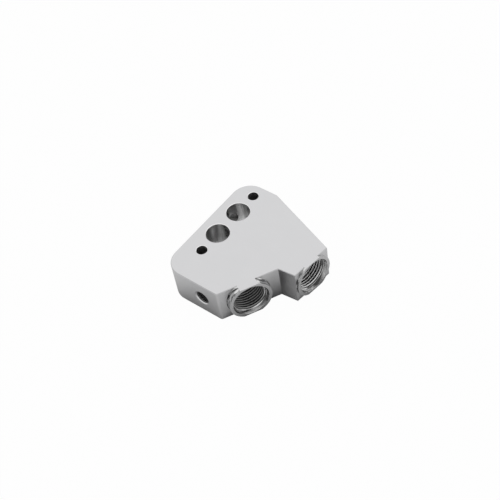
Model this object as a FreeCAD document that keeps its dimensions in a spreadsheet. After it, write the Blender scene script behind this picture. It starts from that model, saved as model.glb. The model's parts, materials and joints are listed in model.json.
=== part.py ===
"""Oil cooler port block: one machined aluminium plate with two angled hose ports.

The plate lies on its back face.  +Z points up, out of the face that holds the two flow
bores, and +X runs along the row of holes.  The origin is on the back face, midway between
the two bolt holes.  Every length is in millimetres and every angle in degrees.
"""
import FreeCAD
import Part
import Sketcher
import math
import os

BLOCK = "manifold_block"
NEAR = 1e-4
ORIGIN = (-1, 1)
X_AXIS = -1
START, END, CENTRE = 1, 2, 3
UP = FreeCAD.Vector(0, 0, 1)
FULL_TURN = 360.0

SIZES = (
    ("plate_thickness", 25.4, "back face to bore face"),
    ("row_to_long_edge", 13.2, "row of holes to the long straight edge"),
    ("left_end_margin", 4.73, "left boss's rim to the left end face, along the row"),
    ("right_end_margin", 8.7, "right bolt hole's axis to the right end face"),
    ("big_corner_radius", 12.5, "the two corners of the long edge"),
    ("small_corner_radius", 2.0, "the blunt corners of the two ends"),
    ("notch_radius", 0.8, "inner corner between the two port arms"),
    ("outline_chamfer", 0.4, "edge break around both flat faces"),
    ("rim_chamfer", 0.25, "edge break at the mouths of the upright holes"),
    ("bore_spacing", 21.0, "centre to centre of the flow bores"),
    ("bore_diameter", 15.3, "flow bores"),
    ("bore_floor", 5.4, "metal left under the flow bores' flat floors"),
    ("bolt_hole_diameter", 7.0, "clearance for a 6 mm bolt"),
    ("bolt_wall", 4.85, "metal between a bolt hole and the flow bore beside it"),
    ("left_port_angle", 61.0, "left port's axis, from the row of holes"),
    ("left_port_reach", 44.6, "left bore's axis to the face its boss stands on"),
    ("left_boss_height", 4.5, "left boss above its face"),
    ("left_pilot_reach", 5.0, "left pilot drill's tip past the bore's axis"),
    ("right_port_angle", 81.8, "right port's axis, from the row of holes"),
    ("right_boss_height", 1.5, "right boss above its face"),
    ("right_pilot_reach", 10.5, "right pilot drill's tip past the bore's axis"),
    ("arm_margin", 0.2, "right boss's rim to either side of the face it stands on"),
    ("notch_wall_length", 11.72, "right arm's free side, from the notch to its end"),
    ("arm_left_taper", 13.2, "notch wall, from the right port's axis"),
    ("arm_right_taper", 12.4, "long slanting edge, from the right port's axis"),
    ("boss_wall", 2.01, "seat's mouth to the rim of its boss"),
    ("boss_root", 2.0, "how deep a boss is rooted in the plate"),
    ("boss_root_radius", 0.6, "fillet where the left boss meets its face"),
    ("port_drill_diameter", 20.3, "port's tapping drill, the thread's minor diameter"),
    ("port_drill_depth", 19.8, "boss's front to the end of the tapping drill"),
    ("seat_margin", 1.84, "tapping drill to the mouth of the sealing ring's seat"),
    ("seat_depth", 2.5, "sealing ring seat"),
    ("seat_angle", 15.0, "seat's wall, from the port's axis"),
    ("passage_diameter", 14.3, "drilled passage from a port to its bore"),
    ("passage_reach", 0.5, "passage drill's tip past the bore's axis"),
    ("pilot_diameter", 8.7, "pilot drill that runs ahead of the passage drill"),
    ("drill_point_angle", 59.0, "a drill's point, from its axis"),
    ("gauge_port_offset", 16.0, "row of holes to the gauge port's axis"),
    ("gauge_drill_diameter", 8.7, "gauge port's tapping drill"),
    ("gauge_mouth_diameter", 10.8, "gauge port's countersink"),
    ("overrun", 1.0, "how far a cutting profile starts outside the metal"),
)

MOUTH_RADIUS = "(Sizes.port_drill_diameter / 2 + Sizes.seat_margin)"
BOSS_RADIUS = f"({MOUTH_RADIUS} + Sizes.boss_wall)"
ARM_WIDTH = f"(2 * {BOSS_RADIUS} + 2 * Sizes.arm_margin)"
BORE_X = {"left": "-Sizes.bore_spacing / 2", "right": "Sizes.bore_spacing / 2"}
BORE_DEPTH = "Sizes.plate_thickness - Sizes.bore_floor"
BOLT_SPACING = ("(Sizes.bore_spacing + Sizes.bore_diameter + Sizes.bolt_hole_diameter"
                " + 2 * Sizes.bolt_wall)")
RIGHT_END = f"({BOLT_SPACING} / 2 + Sizes.right_end_margin)"
LEFT_END = ("(Sizes.bore_spacing / 2 + Sizes.left_port_reach * cos(Sizes.left_port_angle)"
            f" + {BOSS_RADIUS} * sin(Sizes.left_port_angle) + Sizes.left_end_margin)")
BETWEEN_PORTS = "Sizes.right_port_angle - Sizes.left_port_angle"
REACH = {"left": "Sizes.left_port_reach",
         "right": ("((Sizes.left_port_reach + Sizes.bore_spacing * cos(Sizes.left_port_angle)"
                   f" - {ARM_WIDTH} / 2 * sin({BETWEEN_PORTS})"
                   f" + Sizes.notch_wall_length * cos({BETWEEN_PORTS} + Sizes.arm_left_taper))"
                   f" / cos({BETWEEN_PORTS}))")}


def make_sheet(doc):
    """Write every driving size into a sheet, one named cell each."""
    sheet = doc.addObject("Spreadsheet::Sheet", "Sizes")
    for row, (alias, value, note) in enumerate(SIZES, start=1):
        sheet.set(f"A{row}", note)
        sheet.set(f"B{row}", str(value))
        sheet.setAlias(f"B{row}", alias)
    doc.recompute()


def new_sketch(body, name, role, offsets=(), turn_axis=UP, turn=None):
    """A sketch on one of the body's own planes, moved and turned by expressions."""
    sketch = body.newObject("Sketcher::SketchObject", name)
    plane = next(plane for plane in body.Origin.OriginFeatures if plane.Role == role)
    sketch.AttachmentSupport = [(plane, "")]
    sketch.MapMode = "FlatFace"
    if turn:
        rotation = FreeCAD.Rotation(turn_axis, FULL_TURN / 4)
        sketch.AttachmentOffset = FreeCAD.Placement(FreeCAD.Vector(), rotation)
        sketch.setExpression("AttachmentOffset.Rotation.Angle", turn)
    for letter, expression in offsets:
        sketch.setExpression(f"AttachmentOffset.Base.{letter}", expression)
    return sketch


def worked_out(thing, expression):
    """The number that an expression of the sheet's sizes gives."""
    value = thing.evalExpression(expression)
    return getattr(value, "Value", value)


def bind(sketch, name, kind, place, expression):
    """Add a dimension to a sketch and tie it to the sheet."""
    value = worked_out(sketch, expression)
    if kind == "Angle":
        value = math.radians(value)
    index = sketch.addConstraint(Sketcher.Constraint(kind, *place, value))
    sketch.renameConstraint(index, name)
    sketch.setExpression(f"Constraints.{name}", expression)


def join(sketch, pairs):
    """Make each pair of points coincide."""
    for pair in pairs:
        sketch.addConstraint(Sketcher.Constraint("Coincident", *pair))


def add_circle(sketch, name, along, diameter):
    """A circle whose centre is on the sketch's X axis."""
    centre = FreeCAD.Vector(worked_out(sketch, along), 0, 0)
    circle = sketch.addGeometry(Part.Circle(centre, UP, worked_out(sketch, diameter) / 2))
    sketch.addConstraint(Sketcher.Constraint("PointOnObject", circle, CENTRE, X_AXIS))
    bind(sketch, f"{name}_place", "DistanceX", (*ORIGIN, circle, CENTRE), along)
    bind(sketch, f"{name}_size", "Diameter", (circle,), diameter)


def add_profile(sketch, corners):
    """A closed outline of straight lines whose corners are (X, Y) pairs of expressions."""
    count = len(corners)
    start = [FreeCAD.Vector(worked_out(sketch, along), worked_out(sketch, across), 0)
             for along, across in corners]
    for index in range(count):
        sketch.addGeometry(Part.LineSegment(start[index], start[(index + 1) % count]))
    for index, (along, across) in enumerate(corners):
        join(sketch, [((index - 1) % count, END, index, START)])
        point = (*ORIGIN, index, START)
        bind(sketch, f"along_{index}", "DistanceX", point, along)
        bind(sketch, f"across_{index}", "DistanceY", point, across)


def foot_of_axis(thing, side):
    """Where a port's axis, drawn out from its bore, meets the face its boss stands on."""
    centre_x = worked_out(thing, BORE_X[side])
    reach = worked_out(thing, REACH[side])
    turn = math.radians(worked_out(thing, f"Sizes.{side}_port_angle"))
    return FreeCAD.Vector(centre_x - reach * math.cos(turn), -reach * math.sin(turn), 0)


def draw_outline(body):
    """The plate's seven straight edges, held by the holes and the two port axes."""
    sketch = new_sketch(body, "outline", "XY_Plane")
    top = worked_out(sketch, "Sizes.row_to_long_edge")
    left, right = worked_out(sketch, LEFT_END), worked_out(sketch, RIGHT_END)
    left_bore, right_bore = (worked_out(sketch, BORE_X[side]) for side in ("left", "right"))
    left_foot, right_foot = foot_of_axis(sketch, "left"), foot_of_axis(sketch, "right")
    square = math.radians(worked_out(sketch, "Sizes.right_port_angle"))
    half_width = worked_out(sketch, ARM_WIDTH) / 2
    half_arm = FreeCAD.Vector(math.sin(square), -math.cos(square), 0) * half_width
    arm_right, arm_left = right_foot + half_arm, right_foot - half_arm
    notch = FreeCAD.Vector(arm_left.x, left_foot.y - top, 0)
    left_low = FreeCAD.Vector(-left, left_foot.y + top, 0)
    right_low = FreeCAD.Vector(right, -top, 0)
    left_high, right_high = FreeCAD.Vector(-left, top, 0), FreeCAD.Vector(right, top, 0)

    def add_line(start, end, construction=False):
        return sketch.addGeometry(Part.LineSegment(start, end), construction)

    long_edge = add_line(left_high, right_high)
    right_end = add_line(right_high, right_low)
    slant = add_line(arm_right, right_low)
    arm_face = add_line(arm_right, arm_left)
    notch_wall = add_line(arm_left, notch)
    left_face = add_line(notch, left_low)
    left_end = add_line(left_low, left_high)
    left_axis = add_line(left_foot, FreeCAD.Vector(left_bore, 0, 0), True)
    right_axis = add_line(right_foot, FreeCAD.Vector(right_bore, 0, 0), True)

    join(sketch, ((long_edge, END, right_end, START), (right_end, END, slant, END),
                  (slant, START, arm_face, START), (arm_face, END, notch_wall, START),
                  (notch_wall, END, left_face, START), (left_face, END, left_end, START),
                  (left_end, END, long_edge, START)))
    for rule in (("Horizontal", long_edge), ("Vertical", right_end), ("Vertical", left_end),
                 ("PointOnObject", left_axis, END, X_AXIS),
                 ("PointOnObject", right_axis, END, X_AXIS),
                 ("PointOnObject", left_axis, START, left_face),
                 ("Perpendicular", left_axis, left_face),
                 ("Perpendicular", right_axis, arm_face),
                 ("Symmetric", arm_face, START, arm_face, END, right_axis, START)):
        sketch.addConstraint(Sketcher.Constraint(*rule))
    for name, kind, place, expression in (
            ("top", "DistanceY", (*ORIGIN, long_edge, START), "Sizes.row_to_long_edge"),
            ("right", "DistanceX", (*ORIGIN, long_edge, END), RIGHT_END),
            ("left", "DistanceX", (long_edge, START, *ORIGIN), LEFT_END),
            ("left_bore", "DistanceX", (*ORIGIN, left_axis, END), BORE_X["left"]),
            ("right_bore", "DistanceX", (*ORIGIN, right_axis, END), BORE_X["right"]),
            ("left_reach", "Distance", (left_axis,), REACH["left"]),
            ("right_reach", "Distance", (right_axis,), REACH["right"]),
            ("arm_width", "Distance", (arm_face,), ARM_WIDTH),
            ("left_turn", "Angle", (left_axis,), "Sizes.left_port_angle * 1 deg"),
            ("right_turn", "Angle", (right_axis,), "Sizes.right_port_angle * 1 deg"),
            ("notch_turn", "Angle", (notch_wall,),
             "(Sizes.right_port_angle + Sizes.arm_left_taper) * 1 deg"),
            ("slant_turn", "Angle", (slant,),
             "(Sizes.right_port_angle - Sizes.arm_right_taper) * 1 deg")):
        bind(sketch, name, kind, place, expression)

    corners = {"big": ((long_edge, START), (long_edge, END)),
               "small": ((left_face, END), (right_end, END)),
               "notch": ((notch_wall, END),)}
    return sketch, corners


def upright_edges(feature, points):
    """Names of the upright edges that stand on these points of the outline."""
    names = []
    for index, edge in enumerate(feature.Shape.Edges, start=1):
        low, high = edge.Vertexes[0].Point, edge.Vertexes[-1].Point
        upright = math.hypot(low.x - high.x, low.y - high.y) < NEAR < abs(low.z - high.z)
        if upright and any(math.hypot(low.x - at.x, low.y - at.y) < NEAR for at in points):
            names.append(f"Edge{index}")
    return names


def face_heights(body):
    """The heights of the plate's two flat faces."""
    return 0.0, worked_out(body, "Sizes.plate_thickness")


def rim_edges(feature, heights, only_circles=False):
    """Names of the edges that lie flat at one of these heights."""
    names = []
    for index, edge in enumerate(feature.Shape.Edges, start=1):
        box = edge.BoundBox
        flat = any(abs(box.ZMin - z) < NEAR and abs(box.ZMax - z) < NEAR for z in heights)
        circle = isinstance(edge.Curve, Part.Circle) and edge.isClosed()
        if flat and (circle or not only_circles):
            names.append(f"Edge{index}")
    return names


def dress(doc, body, kind, name, base, edges, prop, expression):
    """Round or chamfer these edges, with the radius or width tied to the sheet."""
    feature = body.newObject(f"PartDesign::{kind}", name)
    feature.Base = (base, edges)
    feature.setExpression(prop, expression)
    doc.recompute()
    return feature


def make_plate(doc, body):
    """The plate: outline, corner radii and the edge break around both faces."""
    outline, corners = draw_outline(body)
    shape = body.newObject("PartDesign::Pad", "plate")
    shape.Profile = outline
    shape.setExpression("Length", "Sizes.plate_thickness")
    doc.recompute()
    places = {kind: [outline.getPoint(*end) for end in ends] for kind, ends in corners.items()}
    for kind, radius in (("big", "big_corner_radius"), ("small", "small_corner_radius"),
                         ("notch", "notch_radius")):
        edges = upright_edges(shape, places[kind])
        shape = dress(doc, body, "Fillet", f"{kind}_corners", shape, edges, "Radius",
                      f"Sizes.{radius}")
    rims = rim_edges(shape, face_heights(body))
    return dress(doc, body, "Chamfer", "outline_break", shape, rims, "Size",
                 "Sizes.outline_chamfer")


def make_boss(doc, body, side):
    """A round boss on a port's axis, rooted in the plate behind the face it stands on."""
    angle = f"Sizes.{side}_port_angle"
    depth = f"({REACH[side]} - Sizes.boss_root)"
    offsets = (("x", f"-{depth} * sin({angle})"),
               ("y", "Sizes.plate_thickness / 2"),
               ("z", f"{BORE_X[side]} - {depth} * cos({angle})"))
    sketch = new_sketch(body, f"{side}_boss_circle", "YZ_Plane", offsets,
                        FreeCAD.Vector(0, 1, 0), f"180 + {angle}")
    add_circle(sketch, "boss", "0", f"2 * {BOSS_RADIUS}")
    boss = body.newObject("PartDesign::Pad", f"{side}_boss")
    boss.Profile = sketch
    boss.setExpression("Length", f"Sizes.boss_root + Sizes.{side}_boss_height")
    doc.recompute()
    return boss


def trim_bosses(doc, body):
    """Cut the bosses flush with the plate's two flat faces, where they stand proud."""
    for name, height, upward in (("back_trim", "0", False),
                                 ("front_trim", "Sizes.plate_thickness", True)):
        sketch = new_sketch(body, f"{name}_circle", "XY_Plane", (("z", height),))
        add_circle(sketch, "reach", "0", f"2 * ({REACH['left']} + {REACH['right']})")
        trim = body.newObject("PartDesign::Pocket", name)
        trim.Profile = sketch
        trim.Reversed = upward
        trim.Type = "ThroughAll"
        doc.recompute()
    return trim


def round_left_root(doc, body, trim):
    """Fillet the arcs where the left boss stands clear of its face."""
    centre = foot_of_axis(body, "left")
    centre.z = worked_out(body, "Sizes.plate_thickness / 2")
    names = []
    for index, edge in enumerate(trim.Shape.Edges, start=1):
        if isinstance(edge.Curve, Part.Circle) and edge.Curve.Center.isEqual(centre, NEAR):
            names.append(f"Edge{index}")
    return dress(doc, body, "Fillet", "left_boss_root", trim, names, "Radius",
                 "Sizes.boss_root_radius")


def cut_pair(doc, body, name, spacing, diameter, depth=None):
    """Two equal round holes in the bore face, right through unless a depth is given."""
    sketch = new_sketch(body, f"{name}_circles", "XY_Plane", (("z", "Sizes.plate_thickness"),))
    for side, sign in (("left", "-"), ("right", "")):
        add_circle(sketch, side, f"{sign}{spacing} / 2", f"Sizes.{diameter}")
    pocket = body.newObject("PartDesign::Pocket", name)
    pocket.Profile = sketch
    if depth:
        pocket.setExpression("Length", depth)
    else:
        pocket.Type = "ThroughAll"
    doc.recompute()
    return pocket


def cut_upright_holes(doc, body):
    """The two bolt holes and the two blind flow bores, in one row."""
    cut_pair(doc, body, "bolt_holes", BOLT_SPACING, "bolt_hole_diameter")
    bores = cut_pair(doc, body, "flow_bores", "Sizes.bore_spacing", "bore_diameter", BORE_DEPTH)
    rims = rim_edges(bores, face_heights(body), only_circles=True)
    dress(doc, body, "Chamfer", "hole_rims", bores, rims, "Size", "Sizes.rim_chamfer")


def cut_turned(doc, body, name, sketch):
    """Turn a half profile round its own X axis and cut it from the body."""
    groove = body.newObject("PartDesign::Groove", name)
    groove.Profile = sketch
    groove.ReferenceAxis = (sketch, ["H_Axis"])
    groove.Angle = FULL_TURN
    doc.recompute()
    return groove


def cut_port(doc, body, side):
    """A hose port: ring seat, tapping drill, passage to its bore and pilot drill."""
    sketch = new_sketch(body, f"{side}_port_profile", "XY_Plane",
                        (("x", BORE_X[side]), ("z", "Sizes.plate_thickness / 2")),
                        turn=f"180 + Sizes.{side}_port_angle")
    front = f"{REACH[side]} + Sizes.{side}_boss_height"
    drill_end = f"{front} - Sizes.port_drill_depth"
    pilot_tip, passage_tip = f"-Sizes.{side}_pilot_reach", "-Sizes.passage_reach"
    pilot, passage = "Sizes.pilot_diameter / 2", "Sizes.passage_diameter / 2"
    drill = "Sizes.port_drill_diameter / 2"
    seat = f"{MOUTH_RADIUS} - Sizes.seat_depth * tan(Sizes.seat_angle)"
    point = "tan(Sizes.drill_point_angle)"
    add_profile(sketch, (
        (pilot_tip, "0"),
        (f"{pilot_tip} + {pilot} / {point}", pilot),
        (f"{passage_tip} + {pilot} / {point}", pilot),
        (f"{passage_tip} + {passage} / {point}", passage),
        (f"{drill_end} - ({drill} - {passage}) / {point}", passage),
        (drill_end, drill),
        (f"{front} - Sizes.seat_depth - ({seat} - {drill})", drill),
        (f"{front} - Sizes.seat_depth", seat),
        (front, MOUTH_RADIUS),
        (f"{front} + Sizes.overrun", MOUTH_RADIUS),
        (f"{front} + Sizes.overrun", "0"),
    ))
    return cut_turned(doc, body, f"{side}_port", sketch)


def cut_gauge_port(doc, body):
    """The small gauge port in the left end, drilled on into the left passage."""
    sketch = new_sketch(body, "gauge_port_profile", "XY_Plane",
                        (("y", "-Sizes.gauge_port_offset"), ("z", "Sizes.plate_thickness / 2")))
    face = f"-{LEFT_END}"
    drill, mouth = "Sizes.gauge_drill_diameter / 2", "Sizes.gauge_mouth_diameter / 2"
    end = f"{BORE_X['left']} - Sizes.gauge_port_offset / tan(Sizes.left_port_angle)"
    add_profile(sketch, (
        (f"{face} - Sizes.overrun", "0"),
        (f"{face} - Sizes.overrun", mouth),
        (face, mouth),
        (f"{face} + {mouth} - {drill}", drill),
        (end, drill),
        (end, "0"),
    ))
    return cut_turned(doc, body, "gauge_port", sketch)


def build_block(doc):
    """The whole block as one body."""
    body = doc.addObject("PartDesign::Body", BLOCK)
    body.Label = BLOCK
    make_plate(doc, body)
    make_boss(doc, body, "left")
    make_boss(doc, body, "right")
    round_left_root(doc, body, trim_bosses(doc, body))
    cut_upright_holes(doc, body)
    cut_port(doc, body, "left")
    cut_port(doc, body, "right")
    body.Tip = cut_gauge_port(doc, body)
    doc.recompute()
    return body


def check_document(doc, body):
    """Stop unless every object is sound, every step did its work and one solid is left."""
    for thing in doc.Objects:
        if "Invalid" in thing.State or "Error" in thing.State:
            raise RuntimeError(f"{thing.Name} is {thing.State}")
    steps = [thing for thing in body.Group if thing.TypeId.startswith("PartDesign::")]
    for before, after in zip(steps, steps[1:]):
        change = after.Shape.Volume - before.Shape.Volume
        cuts = after.TypeId in ("PartDesign::Pocket", "PartDesign::Groove", "PartDesign::Chamfer")
        grows = after.TypeId == "PartDesign::Pad"
        idle = abs(change) < NEAR and not after.Name.endswith("_trim")
        if idle or (cuts and change > NEAR) or (grows and change < 0):
            raise RuntimeError(f"{after.Name} changed the volume by {change:.4f}")
    shape = body.Shape
    if shape.isNull() or not shape.isValid() or len(shape.Solids) != 1:
        raise RuntimeError(f"{body.Label} is not one sound solid")


def main():
    """Build the document, check it and write the block's STEP file."""
    doc = FreeCAD.newDocument("PortBlock")
    make_sheet(doc)
    body = build_block(doc)
    check_document(doc, body)
    os.makedirs("parts", exist_ok=True)
    body.Shape.exportStep(os.path.join("parts", f"{body.Label}.step"))
    box = body.Shape.optimalBoundingBox(False, False)
    print(f"{body.Label}: {box.XLength:.2f} x {box.YLength:.2f} x {box.ZLength:.2f} mm,"
          f" {body.Shape.Volume / 1000:.2f} cm3")


main()
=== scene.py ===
"""Finishes an oil cooler port block: a machined aluminium plate with two threaded hose ports."""
from functools import partial
import json
import math

import bmesh
import bpy
from mathutils import Matrix, Vector


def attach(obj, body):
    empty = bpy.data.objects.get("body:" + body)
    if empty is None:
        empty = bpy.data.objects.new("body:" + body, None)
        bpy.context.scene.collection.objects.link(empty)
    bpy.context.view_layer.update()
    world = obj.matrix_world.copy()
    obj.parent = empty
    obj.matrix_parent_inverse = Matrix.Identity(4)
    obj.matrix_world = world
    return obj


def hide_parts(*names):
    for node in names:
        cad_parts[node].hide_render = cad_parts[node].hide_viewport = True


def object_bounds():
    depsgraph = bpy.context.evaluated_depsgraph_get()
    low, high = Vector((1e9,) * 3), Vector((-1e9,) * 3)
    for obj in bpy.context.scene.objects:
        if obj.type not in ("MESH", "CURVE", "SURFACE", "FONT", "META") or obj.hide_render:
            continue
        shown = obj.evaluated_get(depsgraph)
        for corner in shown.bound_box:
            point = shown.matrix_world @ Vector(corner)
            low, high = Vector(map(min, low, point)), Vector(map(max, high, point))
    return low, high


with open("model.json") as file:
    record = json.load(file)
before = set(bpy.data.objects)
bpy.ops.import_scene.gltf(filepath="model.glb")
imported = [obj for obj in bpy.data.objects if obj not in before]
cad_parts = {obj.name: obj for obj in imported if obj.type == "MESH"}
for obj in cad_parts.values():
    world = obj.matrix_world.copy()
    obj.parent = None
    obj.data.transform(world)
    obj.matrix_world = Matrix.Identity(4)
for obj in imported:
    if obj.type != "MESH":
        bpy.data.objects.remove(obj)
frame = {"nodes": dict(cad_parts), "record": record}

bl_info = {
    "name": "Oil Cooler Port Block",
    "version": (1, 0, 0),
    "blender": (4, 5, 0),
    "location": "View3D > Sidebar > Port Block",
    "description": "Cuts the threads and gives each machined surface its finish",
    "category": "Object",
}

BLOCK = "manifold_block"
HOSE_PORTS = ("left_hose_port", "right_hose_port")
FLOW_BORES = ("left_flow_bore", "right_flow_bore")
GAUGE_PORT = "gauge_port"
MM = 0.001
MOUNTS = {mount["name"]: mount for mount in frame["record"]["mounts"]}
CAD_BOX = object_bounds()

# Corners closer than this are one, and edges sharper than this stay sharp.
MERGE = 1e-6
SHARP = math.radians(24)

# Taps: how far a tooth reaches back into the open hole, as a share of its depth, what is left
# of it at the end of the run-out, and how much narrower a taper thread gets inwards.
OVERLAP_SHARE = 0.12
RUN_OUT_SHARE = 0.05
PIPE_TAPER = 1 / 32
TAP_INPUTS = (
    ("Geometry", "NodeSocketGeometry", None),
    ("Radius", "NodeSocketFloat", 0.01),
    ("Pitch", "NodeSocketFloat", 0.0018),
    ("Depth", "NodeSocketFloat", 0.001),
    ("Overlap", "NodeSocketFloat", 0.0001),
    ("Turns", "NodeSocketFloat", 9.0),
    ("Taper", "NodeSocketFloat", 0.0),
    ("Steps", "NodeSocketInt", 96),
    ("Mouth Width", "NodeSocketFloat", 0.0013),
    ("Root Width", "NodeSocketFloat", 0.0002),
    ("Finish", "NodeSocketMaterial", None),
)

# Places of a Mix node's factor and colour sockets, whose names repeat.
MIX_FACTOR, MIX_FIRST, MIX_SECOND, MIX_RESULT = 0, 6, 7, 2

# Telling the block's regions apart. A normal nearer to an axis than FLAT lies along it, one
# within ACROSS of a right angle stands across it, and one above FACES_UP is a hole's floor. The
# gauge port's mouth is its countersink, wider than its hole by GAUGE_MOUTH_SHARE.
NEAR = 0.05 * MM
FLAT = 0.99
ACROSS = 1.0 - FLAT
FACES_UP = 0.5
RIM_WIDTH = 0.4 * MM
GAUGE_MOUTH_DEPTH = 2.0 * MM
GAUGE_MOUTH_SHARE = 1.5

# Heights of the tool marks, their spacing where it isn't one feed of the cutter, and how much
# finer marks lie in them.
FACE_MARK, SIDE_MARK, RING_MARK = 0.002 * MM, 0.003 * MM, 0.004 * MM
WALL_MARK, BOSS_MARK, THREAD_MARK = 0.001 * MM, 0.02 * MM, 0.0007 * MM
MILL_FEEDS, BOSS_FEEDS = 2, 4
MARK_DETAIL = 3.0

# The face mill's radius as a share of the block, and how long the end mill's streaks are drawn.
FACE_MILL_REACH = 0.75
SIDE_STREAK_STRETCH = 0.04

# How far tone and gloss change over a finish, how much of that is in the fine marks, and the
# band of noise that is stretched to make it: the narrower, the sharper the change. On the bores,
# bosses and seats the change in tone is painted reflection.
USUAL_BAND = 0.2
FACE_CHANGE = {"tone_change": 0.02, "gloss_change": 0.03}
SIDE_CHANGE = {"tone_change": 0.03, "gloss_change": 0.04}
BORE_REFLECTION_CHANGE = {"tone_change": 0.6, "fine_share": 0.1, "band": 0.15}
BOSS_REFLECTION_CHANGE = {"tone_change": 0.95, "fine_share": 0.1, "band": 0.1}
SEAT_REFLECTION_CHANGE = {"tone_change": 0.8, "fine_share": 0.1, "band": 0.12}

# How quickly the painted reflections change round a hole and along it.
BORE_REFLECTIONS = {"round_scale": 1.5, "depth_scale": 0.02}
BOSS_REFLECTIONS = {"round_scale": 2.5, "depth_scale": 0.65}
SEAT_REFLECTIONS = {"round_scale": 1.5, "depth_scale": 0.55}
REFLECTION_DETAIL, REFLECTION_DISTORTION = 2.0, 0.4
CLOUD_SCALE, CLOUD_DETAIL = 90.0, 4.0

# Where the painted shade in a thread's groove starts and where it is full, as shares of its
# depth.
CREST_SHARE = 0.2
ROOT_SHARE = 0.6

# The stage. The contact shade's depth is a power: the higher, the darker. Each soft light has a
# name, a direction, a distance, a size and a strength.
WHITE = (1.0, 1.0, 1.0, 1.0)
FLOOR_GAP = 0.05 * MM
CONTACT_SAMPLES = 8
CONTACT_DEPTH = 2.2
CLIP_START, CLIP_END = 0.01, 100.0
SOFT_LIGHTS = (
    ("back_softbox", (0.45, 0.45, 0.77), 1.2, 0.9, 0.3),
    ("front_softbox", (0.25, -0.85, 0.45), 1.2, 0.9, 0.3),
)


def mm(name, text, value, low=0.0, high=1.0):
    """A length that the panel shows and edits."""
    return bpy.props.FloatProperty(name=name, description=text, default=value * MM, min=low,
                                   max=high, subtype="DISTANCE", unit="LENGTH", precision=5)


def share(name, text, value):
    """A number from 0 to 1."""
    return bpy.props.FloatProperty(name=name, description=text, default=value, min=0.0, max=1.0,
                                   subtype="FACTOR")


def colour(name, text, value):
    """A linear colour."""
    return bpy.props.FloatVectorProperty(name=name, description=text, default=value, size=3,
                                         min=0.0, max=1.0, subtype="COLOR")


def degrees(name, text, value):
    """An angle, given in degrees and kept in radians."""
    return bpy.props.FloatProperty(name=name, description=text, default=math.radians(value),
                                   subtype="ANGLE", unit="ROTATION")


def seed(name, text, value):
    """A fixed start for a pattern of painted reflections."""
    return bpy.props.FloatProperty(name=name, description=text, default=value, min=0.0,
                                   max=100.0)


class PORTBLOCK_PG_threads(bpy.types.PropertyGroup):
    """Sizes of the cut threads."""
    hose_pitch: mm("Hose thread pitch", "14 threads to the inch", 25.4 / 14)
    hose_depth: mm("Hose thread depth", "Height of the thread in the hose ports", 0.96)
    hose_length: mm("Hose thread length", "From the seat to the end of the run-out", 13.6)
    gauge_pitch: mm("Gauge thread pitch", "27 threads to the inch", 25.4 / 27)
    gauge_depth: mm("Gauge thread depth", "Height of the thread in the gauge port", 0.68)
    gauge_length: mm("Gauge thread length", "From the countersink to the end of the run-out",
                     10.0)
    crest: share("Crest", "Flat left on the thread's crest, as a share of the pitch", 0.26)
    root: share("Root", "Flat at the bottom of the groove, as a share of the pitch", 0.12)
    left_start: degrees("Left start", "Where the left port's thread starts", 0.0)
    right_start: degrees("Right start", "Where the right port's thread starts", 0.0)
    steps: bpy.props.IntProperty(name="Steps", description="Steps in one turn of a thread",
                                 default=96, min=24, max=360)


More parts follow.
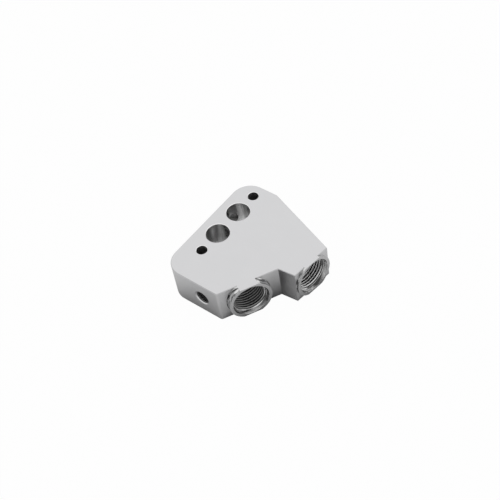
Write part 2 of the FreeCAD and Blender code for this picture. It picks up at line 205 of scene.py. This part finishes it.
class PORTBLOCK_PG_finish(bpy.types.PropertyGroup):
    """Colour and finish of the metal."""
    face_metal: colour("Face", "Milled aluminium of the flat faces", (0.60, 0.60, 0.608))
    # Painted shade: the plate's edges are toned a little darker than its faces, and the broken
    # edges darker still, between the lit top and the sides.
    shaded_side_metal: colour("Side", "Milled aluminium of the plate's edges", (0.56, 0.56, 0.566))
    shaded_edge_metal: colour("Edge", "Aluminium of the broken edges", (0.48, 0.48, 0.485))
    # Painted highlight: the upright holes' chamfers are toned lighter than the faces, for a
    # bright rim.
    rim_highlight: colour("Rim", "Bright chamfers of the upright holes", (0.90, 0.90, 0.90))
    ring_metal: colour("Port face", "Turned aluminium of the ports' faces", (0.49, 0.49, 0.495))
    # Painted reflections: the seats' and the bosses' sides' tones, round which their bright and
    # dark patches are painted.
    seat_reflection_tone: colour("Seat", "Turned aluminium of the ports' seats", (0.45, 0.45, 0.45))
    boss_reflection_tone: colour("Boss side", "Aluminium of the bosses' milled sides", (0.36, 0.36, 0.36))
    # Painted light and shade: one cut metal, given a light crest tone in the right port and dark
    # ones in the left and gauge ports.
    left_crest_painted_shade: colour("Left crest", "Thread crests in the left port", (0.30, 0.30, 0.30))
    right_crest_painted_light: colour("Right crest", "Thread crests in the right port", (1.0, 1.0, 1.0))
    gauge_crest_painted_shade: colour("Gauge crest", "Thread crests in the gauge port", (0.22, 0.22, 0.22))
    # Painted shade: the thread roots are darkened for the shade that falls deep in the grooves.
    thread_root_shade: colour("Thread root", "Dull roots of the threads", (0.07, 0.07, 0.07))
    # Painted reflections: the bores' tone, round which their bright streaks are painted.
    bore_reflection_tone: colour("Bore", "Aluminium inside the flow bores", (0.74, 0.74, 0.74))
    # Painted shade: the drillings and bolt holes get a dark tone for the shade deep in them.
    shaded_drill_metal: colour("Drilled", "Dull aluminium deep in the drillings", (0.35, 0.35, 0.35))
    face_roughness: share("Face roughness", "Roughness of the milled flat faces", 0.34)
    side_roughness: share("Side roughness", "Roughness of the milled edges", 0.32)
    ring_roughness: share("Ring roughness", "Roughness of the turned port faces", 0.26)
    boss_roughness: share("Boss roughness", "Roughness of the bosses' sides", 0.16)
    seat_roughness: share("Seat roughness", "Roughness of the ports' seats", 0.45)
    bore_roughness: share("Bore roughness", "Roughness inside the flow bores", 0.30)
    drill_roughness: share("Drilled roughness", "Roughness deep in the drillings", 0.50)
    thread_roughness: share("Thread roughness", "Roughness of the cut threads", 0.42)
    tool_mark: mm("Tool mark spacing", "Feed of the cutters between two marks", 0.25)
    # Seeds of the painted reflections on the ports' bosses and seats.
    left_port_reflections: seed("Left patches", "Where the left port's bright patches fall", 25.2)
    right_port_reflections: seed("Right patches", "Where the right port's bright patches fall", 35.6)
    # Seeds of the painted reflections in the bores.
    left_bore_reflections: seed("Left streaks", "Where the left bore's bright streaks fall", 34.7)
    right_bore_reflections: seed("Right streaks", "Where the right bore's bright streaks fall", 28.9)
    seat_drop: mm("Seat drop", "From a port's round wall up to its boss's front", 3.67)
    mouth_radius: mm("Mouth radius", "Radius of a port's mouth", 11.99)
    boss_radius: mm("Boss radius", "Radius of a port's boss", 14.0)
    boss_root: mm("Boss root", "Radius of the round foot of a boss", 0.6)


class PORTBLOCK_PG_stage(bpy.types.PropertyGroup):
    """Camera, floor and light."""
    aim: bpy.props.FloatVectorProperty(
        name="Aim", description="Point of the block that the camera looks at", size=3,
        default=(-0.0031, -0.0181, 0.0127), subtype="TRANSLATION", unit="LENGTH")
    distance: mm("Distance", "From the camera to the aim point", 600.7, high=10.0)
    azimuth: degrees("Azimuth", "Camera's direction round the block", -44.95)
    elevation: degrees("Elevation", "Camera's height above the floor", 49.45)
    roll: degrees("Roll", "Camera's turn about its own line of sight", -10.25)
    lens: bpy.props.FloatProperty(name="Lens", description="Focal length on a 36 mm sensor",
                                  default=68.5, min=10.0, max=500.0, unit="CAMERA")
    floor_size: mm("Floor size", "Side of the square floor", 6000.0, high=20.0)
    floor_colour: colour("Floor", "Pale grey of the floor under its white", (0.8, 0.8, 0.8))
    contact_reach: mm("Contact shade", "Reach of the soft shade at the block's foot", 60.0)
    camera_white: share("White to the eye", "Share of plain white in the floor", 0.97)
    sky_level: share("Sky", "Strength of the sky that lights the floor", 0.8)


class PORTBLOCK_PG_all(bpy.types.PropertyGroup):
    """Everything that can be changed in one place."""
    threads: bpy.props.PointerProperty(type=PORTBLOCK_PG_threads)
    finish: bpy.props.PointerProperty(type=PORTBLOCK_PG_finish)
    stage: bpy.props.PointerProperty(type=PORTBLOCK_PG_stage)


def settings():
    """The values in the panel."""
    return bpy.context.scene.port_block


# ---------------------------------------------------------------- places on the block

def mount_axis(name):
    """Outward direction of a hole."""
    return Vector(MOUNTS[name]["axis"]).normalized()


def mount_radius(name):
    """Radius of a hole's wall."""
    return MOUNTS[name]["dims"]["r_mm"] * MM


def wall_front(name):
    """Point on a port's axis where its round wall starts, next to the mouth."""
    mount = MOUNTS[name]
    return Vector(mount["pos_m"]) + mount_axis(name) * mount["dims"]["length_mm"] * MM / 2


def hole_place(centre, normal, point, axis):
    """A face's place along a hole's axis, its distance from it, and if it faces the axis."""
    arm = centre - point
    along = arm.dot(axis)
    across = arm - axis * along
    return along, across.length, normal.dot(across) < 0.0


# ---------------------------------------------------------------- node helpers

def add_node(tree, kind, inputs=None, **values):
    """A node with its settings, and its inputs set or linked."""
    node = tree.nodes.new(kind)
    for name, value in values.items():
        setattr(node, name, value)
    for key, value in (inputs or {}).items():
        if isinstance(value, bpy.types.NodeSocket):
            tree.links.new(value, node.inputs[key])
        else:
            node.inputs[key].default_value = value
    return node


def maths(tree, operation, first, second=0.0):
    """One step of arithmetic."""
    return add_node(tree, "ShaderNodeMath", {0: first, 1: second},
                    operation=operation).outputs[0]


def vector_maths(tree, operation, first, second=(0.0, 0.0, 0.0), output="Vector"):
    """One step of vector arithmetic."""
    node = add_node(tree, "ShaderNodeVectorMath", {0: first, 1: second}, operation=operation)
    return node.outputs[output]


def scaled(tree, vector, factor):
    """A vector made longer or shorter."""
    return add_node(tree, "ShaderNodeVectorMath", {0: vector, "Scale": factor},
                    operation="SCALE").outputs["Vector"]


def mixed_colour(tree, factor, first, second):
    """A blend of two colours."""
    node = add_node(tree, "ShaderNodeMix", {MIX_FACTOR: factor, MIX_FIRST: first,
                                            MIX_SECOND: second}, data_type="RGBA")
    return node.outputs[MIX_RESULT]


# ---------------------------------------------------------------- threads

def tap_path(tree, given):
    """The helix that the cutting edge follows into the hole."""
    height = maths(tree, "MULTIPLY", given["Turns"], given["Pitch"])
    narrowing = maths(tree, "MULTIPLY", height, given["Taper"])
    helix = add_node(tree, "GeometryNodeCurveSpiral", {
        "Resolution": given["Steps"], "Rotations": given["Turns"],
        "Start Radius": given["Radius"],
        "End Radius": maths(tree, "SUBTRACT", given["Radius"], narrowing),
        "Height": height, "Reverse": True})
    upright = add_node(tree, "GeometryNodeSetCurveNormal", {"Curve": helix.outputs["Curve"]},
                       mode="Z_UP")
    return upright.outputs["Curve"]


def tap_tooth(tree, given):
    """The cutting edge: a tooth that points away from the axis, with its foot in the hole."""
    tooth = add_node(tree, "GeometryNodeCurvePrimitiveQuadrilateral", {
        "Height": maths(tree, "ADD", given["Depth"], given["Overlap"]),
        "Bottom Width": given["Mouth Width"], "Top Width": given["Root Width"],
        "Offset": 0.0}, mode="TRAPEZOID")
    lift = maths(tree, "MULTIPLY", maths(tree, "SUBTRACT", given["Depth"], given["Overlap"]), 0.5)
    shift = add_node(tree, "ShaderNodeCombineXYZ", {"Y": lift})
    placed = add_node(tree, "GeometryNodeTransform", {
        "Geometry": tooth.outputs["Curve"], "Translation": shift.outputs["Vector"]})
    turned = add_node(tree, "GeometryNodeTransform", {
        "Geometry": placed.outputs["Geometry"], "Rotation": (0.0, 0.0, -math.pi / 2)})
    return turned.outputs["Geometry"]


def tap_run_out(tree, given):
    """The tooth's size along the path: full, and less and less over the last turn."""
    along = add_node(tree, "GeometryNodeSplineParameter").outputs["Factor"]
    turns_left = maths(tree, "MULTIPLY", maths(tree, "SUBTRACT", 1.0, along), given["Turns"])
    return add_node(tree, "ShaderNodeMapRange", {
        "Value": turns_left, "From Min": 0.0, "From Max": 1.0, "To Min": RUN_OUT_SHARE,
        "To Max": 1.0}).outputs["Result"]


def tap_tree():
    """A tap's cutting edge swept along its helix, with the run-out at the far end."""
    tree = bpy.data.node_groups.new("thread_cutter", "GeometryNodeTree")
    for name, kind, default in TAP_INPUTS:
        socket = tree.interface.new_socket(name, in_out="INPUT", socket_type=kind)
        if default is not None:
            socket.default_value = default
    tree.interface.new_socket("Geometry", in_out="OUTPUT", socket_type="NodeSocketGeometry")
    given = add_node(tree, "NodeGroupInput").outputs
    swept = add_node(tree, "GeometryNodeCurveToMesh", {
        "Curve": tap_path(tree, given), "Profile Curve": tap_tooth(tree, given),
        "Scale": tap_run_out(tree, given), "Fill Caps": True})
    real = add_node(tree, "GeometryNodeRealizeInstances", {"Geometry": swept.outputs["Mesh"]})
    finished = add_node(tree, "GeometryNodeSetMaterial", {
        "Geometry": real.outputs["Geometry"], "Material": given["Finish"]})
    result = add_node(tree, "NodeGroupOutput")
    tree.links.new(finished.outputs["Geometry"], result.inputs["Geometry"])
    return tree


def set_inputs(modifier, values):
    """Set a Geometry Nodes modifier's inputs by the names that its tree gives them."""
    for item in modifier.node_group.interface.items_tree:
        if item.in_out == "INPUT" and item.name in values:
            modifier[item.identifier] = values[item.name]


def plain_mesh(thing, name):
    """The mesh that a thing's modifiers make."""
    bpy.context.view_layer.update()
    evaluated = thing.evaluated_get(bpy.context.evaluated_depsgraph_get())
    mesh = bpy.data.meshes.new_from_object(evaluated)
    mesh.name = name
    return mesh


def make_tap(tree, port, pitch, depth, length, start_angle, taper, finish):
    """The solid that one tap removes from a port, in place. It starts one turn outside."""
    threads = settings().threads
    lead = pitch
    cutter = bpy.data.objects.new(f"{port}_tap", bpy.data.meshes.new(f"{port}_tap"))
    bpy.context.scene.collection.objects.link(cutter)
    modifier = cutter.modifiers.new("thread", "NODES")
    modifier.node_group = tree
    root = threads.root * pitch
    overlap = OVERLAP_SHARE * depth
    flank = (1.0 - threads.crest - threads.root) * pitch
    set_inputs(modifier, {
        "Radius": mount_radius(port) + taper * lead, "Pitch": pitch, "Depth": depth,
        "Overlap": overlap, "Turns": (length + lead) / pitch, "Taper": taper,
        "Steps": threads.steps, "Mouth Width": root + flank * (1.0 + overlap / depth),
        "Root Width": root, "Finish": finish})
    mesh = plain_mesh(cutter, f"{port}_tap_cut")
    inward = -mount_axis(port)
    place = inward.to_track_quat("Z", "Y").to_matrix().to_4x4()
    place.translation = wall_front(port) - inward * lead
    mesh.transform(place @ Matrix.Rotation(start_angle, 4, "Z"))
    cutter.modifiers.remove(modifier)
    cutter.data = mesh
    return cutter


def make_taps(finishes):
    """A tap for each threaded port."""
    threads, tree = settings().threads, tap_tree()
    taps = [make_tap(tree, port, threads.hose_pitch, threads.hose_depth, threads.hose_length,
                     start, 0.0, finishes[f"{port}_thread"])
            for port, start in zip(HOSE_PORTS, (threads.left_start, threads.right_start))]
    taps.append(make_tap(tree, GAUGE_PORT, threads.gauge_pitch, threads.gauge_depth,
                         threads.gauge_length, 0.0, PIPE_TAPER,
                         finishes[f"{GAUGE_PORT}_thread"]))
    return taps


def cut_threads(block, taps):
    """Cut the taps out of the block, which is then a plain mesh again."""
    for tap in taps:
        cut = block.modifiers.new(tap.name, "BOOLEAN")
        cut.operation = "DIFFERENCE"
        cut.solver = "EXACT"
        cut.material_mode = "TRANSFER"
        cut.object = tap
    block.data = plain_mesh(block, "port_block")
    block.modifiers.clear()
    for tap in taps:
        bpy.data.objects.remove(tap)


# ---------------------------------------------------------------- finishes

def object_point(tree):
    """The place on the block that is being shaded, in metres."""
    return add_node(tree, "ShaderNodeTexCoord").outputs["Object"]


def way_from(tree, point):
    """From a point of the block to the place that is being shaded."""
    return vector_maths(tree, "SUBTRACT", object_point(tree), tuple(point))


def ring_distance(tree, port):
    """Distance from a hole's axis: turned marks follow it."""
    crossed = vector_maths(tree, "CROSS_PRODUCT", way_from(tree, wall_front(port)),
                           tuple(mount_axis(port)))
    return vector_maths(tree, "LENGTH", crossed, output="Value")


def depth_distance(tree, port):
    """Distance along a hole's axis: drilled marks follow it."""
    return vector_maths(tree, "DOT_PRODUCT", way_from(tree, wall_front(port)),
                        tuple(mount_axis(port)), output="Value")


def face_mill_distance(tree):
    """Distance along the feed of a wide face mill, whose marks are long arcs."""
    lowest, highest = CAD_BOX
    middle, radius = (lowest.y + highest.y) / 2, (highest.y - lowest.y) * FACE_MILL_REACH
    split = add_node(tree, "ShaderNodeSeparateXYZ", {0: object_point(tree)})
    across = maths(tree, "SUBTRACT", split.outputs["Y"], middle)
    squared = maths(tree, "SUBTRACT", radius ** 2, maths(tree, "MULTIPLY", across, across))
    return maths(tree, "SUBTRACT", split.outputs["X"], maths(tree, "SQRT", squared))


def side_streaks(tree):
    """Upright streaks of an end mill that went round the plate's edge."""
    stretched = add_node(tree, "ShaderNodeMapping", {
        "Vector": object_point(tree), "Scale": (1.0, 1.0, SIDE_STREAK_STRETCH)})
    return stretched.outputs["Vector"]


def tool_marks(tree, where, spacing):
    """Uneven marks that repeat about once in each spacing, from a distance or a point."""
    inputs = {"Scale": 1.0 / spacing, "Detail": MARK_DETAIL}
    if where.type == "VECTOR":
        node = add_node(tree, "ShaderNodeTexNoise", {"Vector": where, **inputs})
    else:
        node = add_node(tree, "ShaderNodeTexNoise", {"W": where, **inputs},
                        noise_dimensions="1D")
    return node.outputs["Fac"]


def spread(tree, value, low, high, band=USUAL_BAND):
    """Noise from a band around a half, widened to run from low to high."""
    return add_node(tree, "ShaderNodeMapRange", {
        "Value": value, "From Min": 0.5 - band, "From Max": 0.5 + band, "To Min": low,
        "To Max": high}).outputs["Result"]


def clouds(tree):
    """Faint broad unevenness of a machined surface."""
    return add_node(tree, "ShaderNodeTexNoise", {
        "Vector": object_point(tree), "Scale": CLOUD_SCALE,
        "Detail": CLOUD_DETAIL}).outputs["Fac"]


def painted_reflections(tree, hole, round_scale, depth_scale, start):
    """Painted reflections: bright and dark patches and streaks that run round a hole, or along
    it, as a shiny wall would mirror them.
    """
    axis = tuple(mount_axis(hole))
    way = way_from(tree, MOUNTS[hole]["pos_m"])
    along = vector_maths(tree, "DOT_PRODUCT", way, axis, output="Value")
    on_axis = scaled(tree, axis, along)
    outward = vector_maths(tree, "NORMALIZE", vector_maths(tree, "SUBTRACT", way, on_axis))
    turned = scaled(tree, outward, round_scale)
    raised = scaled(tree, on_axis, depth_scale / MM)
    where = vector_maths(tree, "ADD", vector_maths(tree, "ADD", turned, raised),
                         (start, start, start))
    return add_node(tree, "ShaderNodeTexNoise", {
        "Vector": where, "Scale": 1.0, "Detail": REFLECTION_DETAIL,
        "Distortion": REFLECTION_DISTORTION}).outputs["Fac"]


def bare_metal(name):
    """A new metal, its nodes and its shader."""
    material = bpy.data.materials.new(name)
    material.use_nodes = True
    tree = material.node_tree
    shader = tree.nodes["Principled BSDF"]
    shader.inputs["Metallic"].default_value = 1.0
    return material, tree, shader


def add_bump(tree, shader, height, distance):
    """Fine marks that only the light shows."""
    bump = add_node(tree, "ShaderNodeBump", {
        "Height": height, "Strength": 1.0, "Distance": distance})
    tree.links.new(bump.outputs["Normal"], shader.inputs["Normal"])


def machined_metal(name, base, roughness, marks, spacing, mark_height, tone_change=0.06,
                   gloss_change=0.06, unevenness_and_reflections=clouds, fine_share=0.5, band=USUAL_BAND):
    """Bare aluminium with the marks of one cutting tool; the bores, bosses and seats get painted
    reflections.
    """
    material, tree, shader = bare_metal(name)
    fine = tool_marks(tree, marks(tree), spacing)
    mixed = maths(tree, "ADD", maths(tree, "MULTIPLY", fine, fine_share),
                  maths(tree, "MULTIPLY", unevenness_and_reflections(tree), 1.0 - fine_share))
    darker = (*(part * (1.0 - tone_change) for part in base), 1.0)
    lighter = (*(min(1.0, part * (1.0 + tone_change)) for part in base), 1.0)
    tone = mixed_colour(tree, spread(tree, mixed, 0.0, 1.0, band), darker, lighter)
    tree.links.new(tone, shader.inputs["Base Color"])
    gloss = spread(tree, mixed, roughness - gloss_change, roughness + gloss_change)
    tree.links.new(gloss, shader.inputs["Roughness"])
    add_bump(tree, shader, fine, mark_height)
    return material


def thread_metal(port, depth, crest):
    """Cut threads: crests in a tone that paints each port's own light, and painted shade towards
    the roots.
    """
    finish = settings().finish
    material, tree, shader = bare_metal(f"{port}_thread")
    shader.inputs["Roughness"].default_value = finish.thread_roughness
    away, radius = ring_distance(tree, port), mount_radius(port)
    root_shade_mask = add_node(tree, "ShaderNodeMapRange", {
        "Value": away, "From Min": radius + CREST_SHARE * depth,
        "From Max": radius + ROOT_SHARE * depth}).outputs["Result"]
    tone = mixed_colour(tree, root_shade_mask, (*crest, 1.0), (*finish.thread_root_shade, 1.0))
    tree.links.new(tone, shader.inputs["Base Color"])
    add_bump(tree, shader, tool_marks(tree, away, finish.tool_mark), THREAD_MARK)
    return material


def bore_finish(bore, start):
    """The finish of a flow bore's wall and floor, with painted reflections in bright streaks."""
    finish = settings().finish
    return machined_metal(
        f"{bore}_wall", finish.bore_reflection_tone, finish.bore_roughness,
        partial(depth_distance, port=bore), finish.tool_mark * MILL_FEEDS, WALL_MARK,
        unevenness_and_reflections=partial(painted_reflections, hole=bore, start=start, **BORE_REFLECTIONS), **BORE_REFLECTION_CHANGE)


def plate_finishes():
    """The finishes of the plate's own faces, edges and upright holes."""
    finish = settings().finish
    feed = finish.tool_mark
    return {
        "face": machined_metal("milled_face", finish.face_metal, finish.face_roughness,
                               face_mill_distance, feed * MILL_FEEDS, FACE_MARK, **FACE_CHANGE),
        # The sides' and broken edges' darker tones are painted shade.
        "side": machined_metal("milled_side", finish.shaded_side_metal, finish.side_roughness,
                               side_streaks, feed * MILL_FEEDS, SIDE_MARK, **SIDE_CHANGE),
        "edge": machined_metal("broken_edge", finish.shaded_edge_metal, finish.side_roughness,
                               object_point, feed, SIDE_MARK),
        # Painted highlight on the upright holes' chamfers.
        "rim": machined_metal("hole_rim", finish.rim_highlight, finish.ring_roughness,
                              object_point, feed, SIDE_MARK),
        # Painted shade in the bolt holes.
        "bolt_hole": machined_metal("drilled_bolt_hole", finish.shaded_drill_metal,
                                    finish.drill_roughness, side_streaks, feed, WALL_MARK),
        "left_flow_bore": bore_finish("left_flow_bore", finish.left_bore_reflections),
        "right_flow_bore": bore_finish("right_flow_bore", finish.right_bore_reflections),
    }


def drilled_finish(port):
    """The finish of the drilling behind a port, darkened as painted shade."""
    finish = settings().finish
    return machined_metal(f"{port}_drilled", finish.shaded_drill_metal, finish.drill_roughness,
                          partial(depth_distance, port=port), finish.tool_mark, WALL_MARK)


def hose_port_finishes(port, crest, start):
    """The finishes of a hose port: face, boss side, seat, thread and drilling.

    The boss side and seat carry painted reflections, the thread painted light and shade, and the
    drilling painted shade.
    """
    finish, threads = settings().finish, settings().threads
    rings, depths = partial(ring_distance, port=port), partial(depth_distance, port=port)
    patches = partial(painted_reflections, hole=port, start=start)
    return {
        f"{port}_ring": machined_metal(
            f"{port}_turned_face", finish.ring_metal, finish.ring_roughness, rings,
            finish.tool_mark, RING_MARK),
        f"{port}_boss": machined_metal(
            f"{port}_boss_side", finish.boss_reflection_tone, finish.boss_roughness, depths,
            finish.tool_mark * BOSS_FEEDS, BOSS_MARK,
            unevenness_and_reflections=partial(patches, **BOSS_REFLECTIONS), **BOSS_REFLECTION_CHANGE),
        f"{port}_seat": machined_metal(
            f"{port}_turned_seat", finish.seat_reflection_tone, finish.seat_roughness, depths,
            finish.tool_mark, WALL_MARK,
            unevenness_and_reflections=partial(patches, **SEAT_REFLECTIONS), **SEAT_REFLECTION_CHANGE),
        f"{port}_thread": thread_metal(port, threads.hose_depth, crest),
        f"{port}_drilled": drilled_finish(port),
    }


def block_finishes():
    """Every finish on the block, by the name of the region that has it."""
    finish, threads = settings().finish, settings().threads
    return {
        **plate_finishes(),
        **hose_port_finishes("left_hose_port", finish.left_crest_painted_shade, finish.left_port_reflections),
        **hose_port_finishes("right_hose_port", finish.right_crest_painted_light, finish.right_port_reflections),
        f"{GAUGE_PORT}_thread": thread_metal(GAUGE_PORT, threads.gauge_depth,
                                             finish.gauge_crest_painted_shade),
        f"{GAUGE_PORT}_drilled": drilled_finish(GAUGE_PORT),
    }


# ---------------------------------------------------------------- the block

def upright_holes():
    """Each hole along Z: its region's name, a point on its axis and its radius."""
    sizes = MOUNTS["mounting_bolts"]["dims"]
    half = sizes["spacing_x_mm"] * MM / 2
    bolts = [("bolt_hole", Vector((way * half, 0.0, 0.0)), sizes["hole_r_mm"] * MM)
             for way in (-1, 1)]
    return bolts + [(bore, Vector(MOUNTS[bore]["pos_m"]), mount_radius(bore))
                    for bore in FLOW_BORES]


def port_region(port, centre, normal):
    """The name of a face's region if it belongs to a port, or None."""
    finish = settings().finish
    is_hose = port in HOSE_PORTS
    front = finish.seat_drop if is_hose else GAUGE_MOUTH_DEPTH
    mouth = finish.mouth_radius if is_hose else mount_radius(port) * GAUGE_MOUTH_SHARE
    axis = mount_axis(port)
    along, off, faces_axis = hole_place(centre, normal, wall_front(port), axis)
    faces_mouth = normal.dot(axis) > -ACROSS
    if faces_axis and faces_mouth and off < mouth + NEAR and along < front - NEAR:
        if along > -NEAR:
            return f"{port}_seat" if is_hose else "side"
        is_cut = is_hose and along > -settings().threads.hose_length
        return f"{port}_thread" if is_cut else f"{port}_drilled"
    if not is_hose or along < -finish.boss_radius or off > finish.boss_radius + finish.boss_root:
        return None
    if normal.dot(axis) > FLAT:
        return f"{port}_ring" if abs(along - front) < NEAR else None
    return f"{port}_boss" if not faces_axis and abs(normal.z) < FLAT else None


def hole_region(name, point, radius, centre, normal):
    """The name of a face's region if it belongs to an upright hole, or None."""
    off, faces_axis = hole_place(centre, normal, point, Vector((0.0, 0.0, 1.0)))[1:]
    inside = CAD_BOX[0].z + NEAR < centre.z < CAD_BOX[1].z - NEAR
    on_wall = faces_axis and abs(normal.z) < ACROSS and off < radius + NEAR
    if on_wall or (inside and off < radius and normal.z > FACES_UP):
        return name
    return "rim" if faces_axis and inside and off < radius + RIM_WIDTH else None


def region_of(centre, normal, holes):
    """The name of the region that a face of the block belongs to."""
    found = [hole_region(*hole, centre, normal) for hole in holes]
    found += [port_region(port, centre, normal) for port in (*HOSE_PORTS, GAUGE_PORT)]
    for region in found:
        if region:
            return region
    if abs(normal.z) > FLAT:
        return "face"
    return "side" if abs(normal.z) < ACROSS else "edge"


def block_copy():
    """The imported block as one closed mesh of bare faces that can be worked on."""
    source = frame["nodes"][BLOCK].data
    mesh = bpy.data.meshes.new("port_block")
    mesh.from_pydata([corner.co for corner in source.vertices], [],
                     [tuple(face.vertices) for face in source.polygons])
    work = bmesh.new()
    work.from_mesh(mesh)
    bmesh.ops.remove_doubles(work, verts=work.verts, dist=MERGE)
    work.to_mesh(mesh)
    work.free()
    return mesh


def paint_regions(mesh, finishes):
    """Give each face of the block the finish of its region."""
    names, holes = list(finishes), upright_holes()
    for name in names:
        mesh.materials.append(finishes[name])
    for face in mesh.polygons:
        face.material_index = names.index(region_of(face.center, face.normal, holes))


class PORTBLOCK_OT_block(bpy.types.Operator):
    """Make the block with its threads and finishes"""
    bl_idname = "portblock.block"
    bl_label = "Port Block"

    def execute(self, context):
        finishes = block_finishes()
        mesh = block_copy()
        paint_regions(mesh, finishes)
        block = bpy.data.objects.new("port_block", mesh)
        context.scene.collection.objects.link(block)
        cut_threads(block, make_taps(finishes))
        block.data.shade_smooth()
        block.data.set_sharp_from_angle(angle=SHARP)
        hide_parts(BLOCK)
        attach(block, "root")
        return {"FINISHED"}


# ---------------------------------------------------------------- stage

def white_share(tree, for_camera=1.0):
    """How white a backdrop is: so much to the eye, and wholly in metal or glass."""
    path = add_node(tree, "ShaderNodeLightPath").outputs
    mirrored = maths(tree, "MAXIMUM", path["Is Glossy Ray"], path["Is Transmission Ray"])
    seen = maths(tree, "MULTIPLY", path["Is Camera Ray"], for_camera)
    return maths(tree, "ADD", seen, mirrored)


def floor_material():
    """Pale grey with the block's shadow, and white laid over it.

    The eye gets a share of the white. Metal gets all of it, shaded round the block's foot.
    """
    stage = settings().stage
    material = bpy.data.materials.new("pale_floor")
    material.use_nodes = True
    tree = material.node_tree
    tree.nodes.clear()
    contact = add_node(tree, "ShaderNodeAmbientOcclusion", {
        "Color": WHITE, "Distance": stage.contact_reach}, samples=CONTACT_SAMPLES)
    shade = maths(tree, "POWER", contact.outputs["AO"], CONTACT_DEPTH)
    seen = add_node(tree, "ShaderNodeLightPath").outputs["Is Camera Ray"]
    plain = add_node(tree, "ShaderNodeBsdfDiffuse", {"Color": (*stage.floor_colour, 1.0)})
    white = add_node(tree, "ShaderNodeEmission", {
        "Color": WHITE, "Strength": maths(tree, "MAXIMUM", seen, shade)})
    mix = add_node(tree, "ShaderNodeMixShader", {
        0: white_share(tree, stage.camera_white), 1: plain.outputs["BSDF"],
        2: white.outputs["Emission"]})
    out = add_node(tree, "ShaderNodeOutputMaterial")
    tree.links.new(mix.outputs["Shader"], out.inputs["Surface"])
    return material


def stage_floor():
    """The floor, just under the block."""
    half = settings().stage.floor_size / 2
    mesh = bpy.data.meshes.new("floor")
    corners = [(-half, -half, 0), (half, -half, 0), (half, half, 0), (-half, half, 0)]
    mesh.from_pydata(corners, [], [(0, 1, 2, 3)])
    mesh.materials.append(floor_material())
    floor = bpy.data.objects.new("floor", mesh)
    bpy.context.scene.collection.objects.link(floor)
    floor.location.z = CAD_BOX[0].z - FLOOR_GAP


def stage_world():
    """An even studio sky, white to the eye and in the metal."""
    stage = settings().stage
    world = bpy.data.worlds.new("studio")
    bpy.context.scene.world = world
    world.use_nodes = True
    tree = world.node_tree
    tree.nodes.clear()
    sky = add_node(tree, "ShaderNodeBackground", {"Color": WHITE, "Strength": stage.sky_level})
    white = add_node(tree, "ShaderNodeBackground", {"Color": WHITE, "Strength": 1.0})
    mix = add_node(tree, "ShaderNodeMixShader", {
        0: white_share(tree), 1: sky.outputs["Background"], 2: white.outputs["Background"]})
    out = add_node(tree, "ShaderNodeOutputWorld")
    tree.links.new(mix.outputs["Shader"], out.inputs["Surface"])


def soft_light(name, direction, distance, size, power):
    """A square soft box that faces the block."""
    stage = settings().stage
    light = bpy.data.lights.new(name, "AREA")
    light.shape = "SQUARE"
    light.size = size
    light.energy = power
    box = bpy.data.objects.new(name, light)
    bpy.context.scene.collection.objects.link(box)
    away = Vector(direction).normalized()
    box.location = Vector(stage.aim) + away * distance
    box.rotation_mode = "QUATERNION"
    box.rotation_quaternion = away.to_track_quat("Z", "Y")


def stage_camera():
    """The camera, aimed and rolled."""
    stage = settings().stage
    turn, rise = stage.azimuth, stage.elevation
    back = Vector((math.sin(turn) * math.cos(rise), -math.cos(turn) * math.cos(rise),
                   math.sin(rise)))
    level = Vector((math.cos(turn), math.sin(turn), 0.0))
    right = Matrix.Rotation(stage.roll, 3, back) @ level
    upward = back.cross(right)
    lens = bpy.data.cameras.new("camera")
    lens.lens = stage.lens
    lens.clip_start, lens.clip_end = CLIP_START, CLIP_END
    camera = bpy.data.objects.new("camera", lens)
    bpy.context.scene.collection.objects.link(camera)
    place = Matrix((right, upward, back)).transposed().to_4x4()
    place.translation = Vector(stage.aim) + back * stage.distance
    camera.matrix_world = place
    bpy.context.scene.camera = camera


class PORTBLOCK_OT_stage(bpy.types.Operator):
    """Set up the floor, the light and the camera"""
    bl_idname = "portblock.stage"
    bl_label = "Stage"

    def execute(self, context):
        context.scene.view_settings.view_transform = "Standard"
        stage_floor()
        stage_world()
        for name, direction, distance, size, power in SOFT_LIGHTS:
            soft_light(name, direction, distance, size, power)
        stage_camera()
        return {"FINISHED"}


class PORTBLOCK_PT_panel(bpy.types.Panel):
    """Lists the block's sizes, finishes and stage"""
    bl_label = "Port Block"
    bl_idname = "PORTBLOCK_PT_panel"
    bl_space_type = "VIEW_3D"
    bl_region_type = "UI"
    bl_category = "Port Block"

    def draw(self, context):
        layout, block = self.layout, context.scene.port_block
        for title, group, operator in (
                ("Threads", block.threads, None),
                ("Finish", block.finish, PORTBLOCK_OT_block.bl_idname),
                ("Stage", block.stage, PORTBLOCK_OT_stage.bl_idname)):
            box = layout.box()
            box.label(text=title)
            for name in group.__annotations__:
                box.prop(group, name)
            if operator:
                box.operator(operator)


CLASSES = (PORTBLOCK_PG_threads, PORTBLOCK_PG_finish, PORTBLOCK_PG_stage, PORTBLOCK_PG_all,
           PORTBLOCK_OT_block, PORTBLOCK_OT_stage, PORTBLOCK_PT_panel)


def register():
    """Add the classes and the settings to Blender."""
    for kind in CLASSES:
        bpy.utils.register_class(kind)
    bpy.types.Scene.port_block = bpy.props.PointerProperty(type=PORTBLOCK_PG_all)


def unregister():
    """Take the settings and the classes out again."""
    del bpy.types.Scene.port_block
    for kind in reversed(CLASSES):
        bpy.utils.unregister_class(kind)


def main():
    """Make the block and its stage."""
    register()
    bpy.ops.portblock.block()
    bpy.ops.portblock.stage()


if __name__ == "__main__":
    main()
